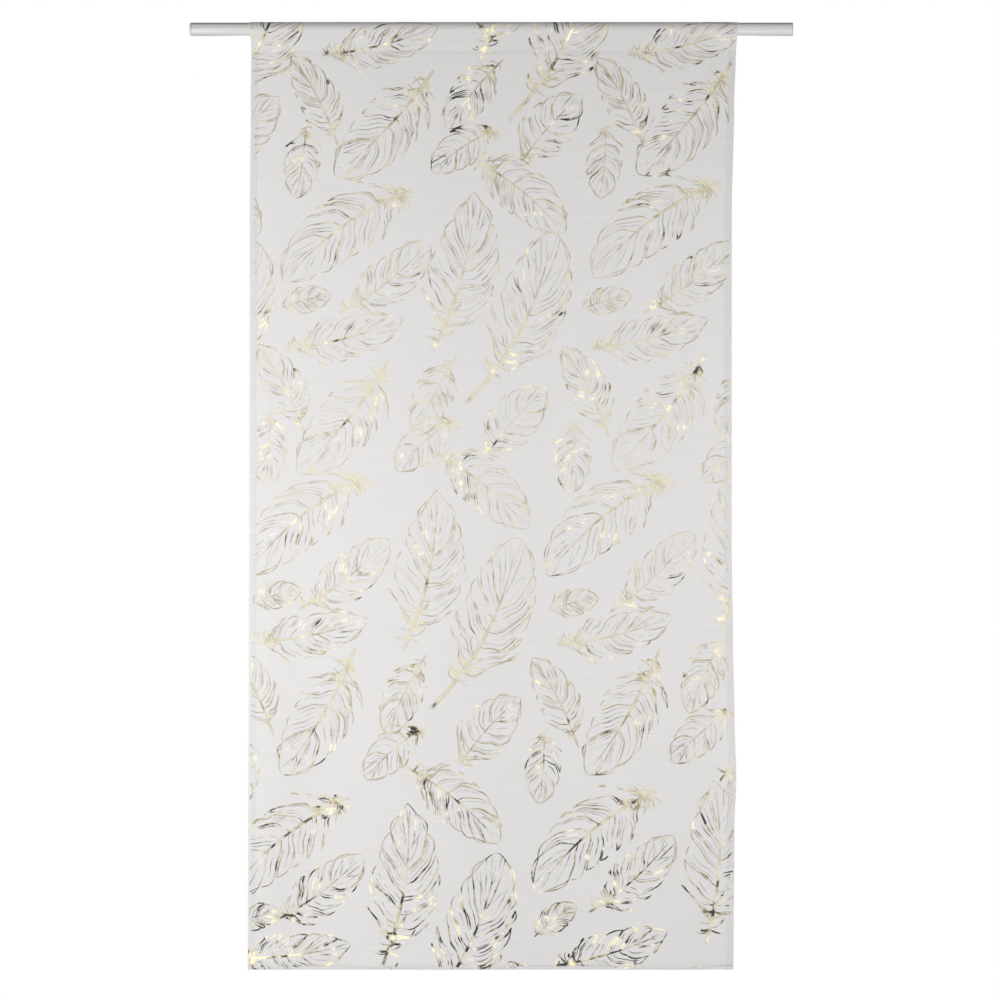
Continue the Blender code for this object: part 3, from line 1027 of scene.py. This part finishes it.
FLOOR_HEIGHT = -2.35  # below the camera's view
FLOOR_RADIUS = 0.8
WORLD_STRENGTH = 0.725
SOFT_LIGHT_SIZE = 1.4
VIEW_WIDTH = 2.112  # what the camera sees across, at the curtain
VIEW_DISTANCE = 8.0
VIEW_MIDDLE = (0.0186, -0.994)  # across and up
SENSOR_WIDTH = 36  # in millimetres, as the lens


def make_floor():
    """A plain pale round floor under the curtain."""
    bm = bmesh.new()
    bmesh.ops.create_circle(bm, cap_ends=True, segments=96, radius=FLOOR_RADIUS,
                            matrix=Matrix.Translation((0, 0, FLOOR_HEIGHT)))
    material, tree = new_material("painted_floor")
    paint = add_node(tree, "ShaderNodeBsdfPrincipled", {"Base Color": linear("#EDEDED"), "Roughness": 0.8})
    add_node(tree, "ShaderNodeOutputMaterial", {"Surface": paint.outputs[0]})
    mesh = mesh_from(bm, "studio_floor", smooth=False)
    mesh.materials.append(material)
    floor = bpy.data.objects.new("studio_floor", mesh)
    bpy.context.scene.collection.objects.link(floor)


def make_world():
    """A white studio: the camera sees plain white; the light is soft, brightest from below and in front."""
    world = bpy.data.worlds.new("white_studio")
    bpy.context.scene.world = world
    world.use_nodes = True
    tree = world.node_tree
    tree.nodes.clear()
    direction = add_node(tree, "ShaderNodeTexCoord").outputs["Generated"]
    slant = add_node(tree, "ShaderNodeVectorMath", {
        0: direction, 1: (0.0, 0.85, 0.53)}, operation="DOT_PRODUCT")
    height = add_node(tree, "ShaderNodeMapRange", {
        "Value": slant.outputs["Value"], "From Min": -1.0, "From Max": 1.0})
    level = ramp(tree, height.outputs[0], (
        (0.0, "#FFFFFF"), (0.35, "#F2F2F2"), (0.6, "#D8D8D8"), (0.76, "#C4C4C4"), (0.9, "#949494"),
        (1.0, "#606060")))
    light = add_node(tree, "ShaderNodeBackground", {"Color": level, "Strength": WORLD_STRENGTH})
    white = add_node(tree, "ShaderNodeBackground", {"Color": (1, 1, 1, 1), "Strength": 1.0})
    seen = add_node(tree, "ShaderNodeLightPath").outputs["Is Camera Ray"]
    both = add_node(tree, "ShaderNodeMixShader", {0: seen, 1: light.outputs[0], 2: white.outputs[0]})
    add_node(tree, "ShaderNodeOutputWorld", {"Surface": both.outputs[0]})


def make_soft_light(name, place, aim, energy):
    """A large soft panel, level with the middle of the curtain or a little lower."""
    data = bpy.data.lights.new(name, "AREA")
    data.shape = "SQUARE"
    data.size = SOFT_LIGHT_SIZE
    data.energy = energy
    light = bpy.data.objects.new(name, data)
    light.location = place
    light.rotation_euler = (Vector(aim) - light.location).to_track_quat("-Z", "Y").to_euler()
    bpy.context.scene.collection.objects.link(light)


def make_camera():
    """Square on to the curtain and level with its middle, far enough away to show it almost flat."""
    data = bpy.data.cameras.new("camera")
    data.sensor_width = SENSOR_WIDTH
    data.lens = SENSOR_WIDTH * VIEW_DISTANCE / VIEW_WIDTH
    data.clip_end = 100
    camera = bpy.data.objects.new("camera", data)
    camera.location = (VIEW_MIDDLE[0], -VIEW_DISTANCE, VIEW_MIDDLE[1])
    camera.rotation_euler = (math.pi / 2, 0, 0)
    bpy.context.scene.collection.objects.link(camera)
    bpy.context.scene.camera = camera


# -------------------------------- the curtain

make_camera()
make_world()
make_soft_light("soft_left", (-1.9, -1.3, -1.15), (0.35, 0.0, -1.2), 54)
make_soft_light("soft_right", (1.9, -1.3, -1.15), (-0.35, 0.0, -1.2), 31)
make_soft_light("soft_behind", (0.0, 2.4, -1.0), (0.0, 0.0, -1.0), 13)
make_floor()
bpy.context.scene.view_settings.view_transform = "Standard"

cloth = make_cloth(polyester_voile())
# The three foils' colours hold painted reflections and glints.
prints = make_print(stamped_foil("gold_foil", OUTLINE_PAINTED_REFLECTIONS), stamped_foil("thin_foil", BARB_PAINTED_REFLECTIONS),
                    stamped_foil("thick_gold_foil", THICK_PAINTED_REFLECTIONS))
sewing = make_sewing(spun_polyester_thread())

make_rod(drawn_aluminium())
polyethylene = moulded_polyethylene()
make_plug("rod_plug_left", "end_plug_left", 4 * MM, polyethylene)
make_plug("rod_plug_right", "end_plug_right", 0.3 * MM, polyethylene)
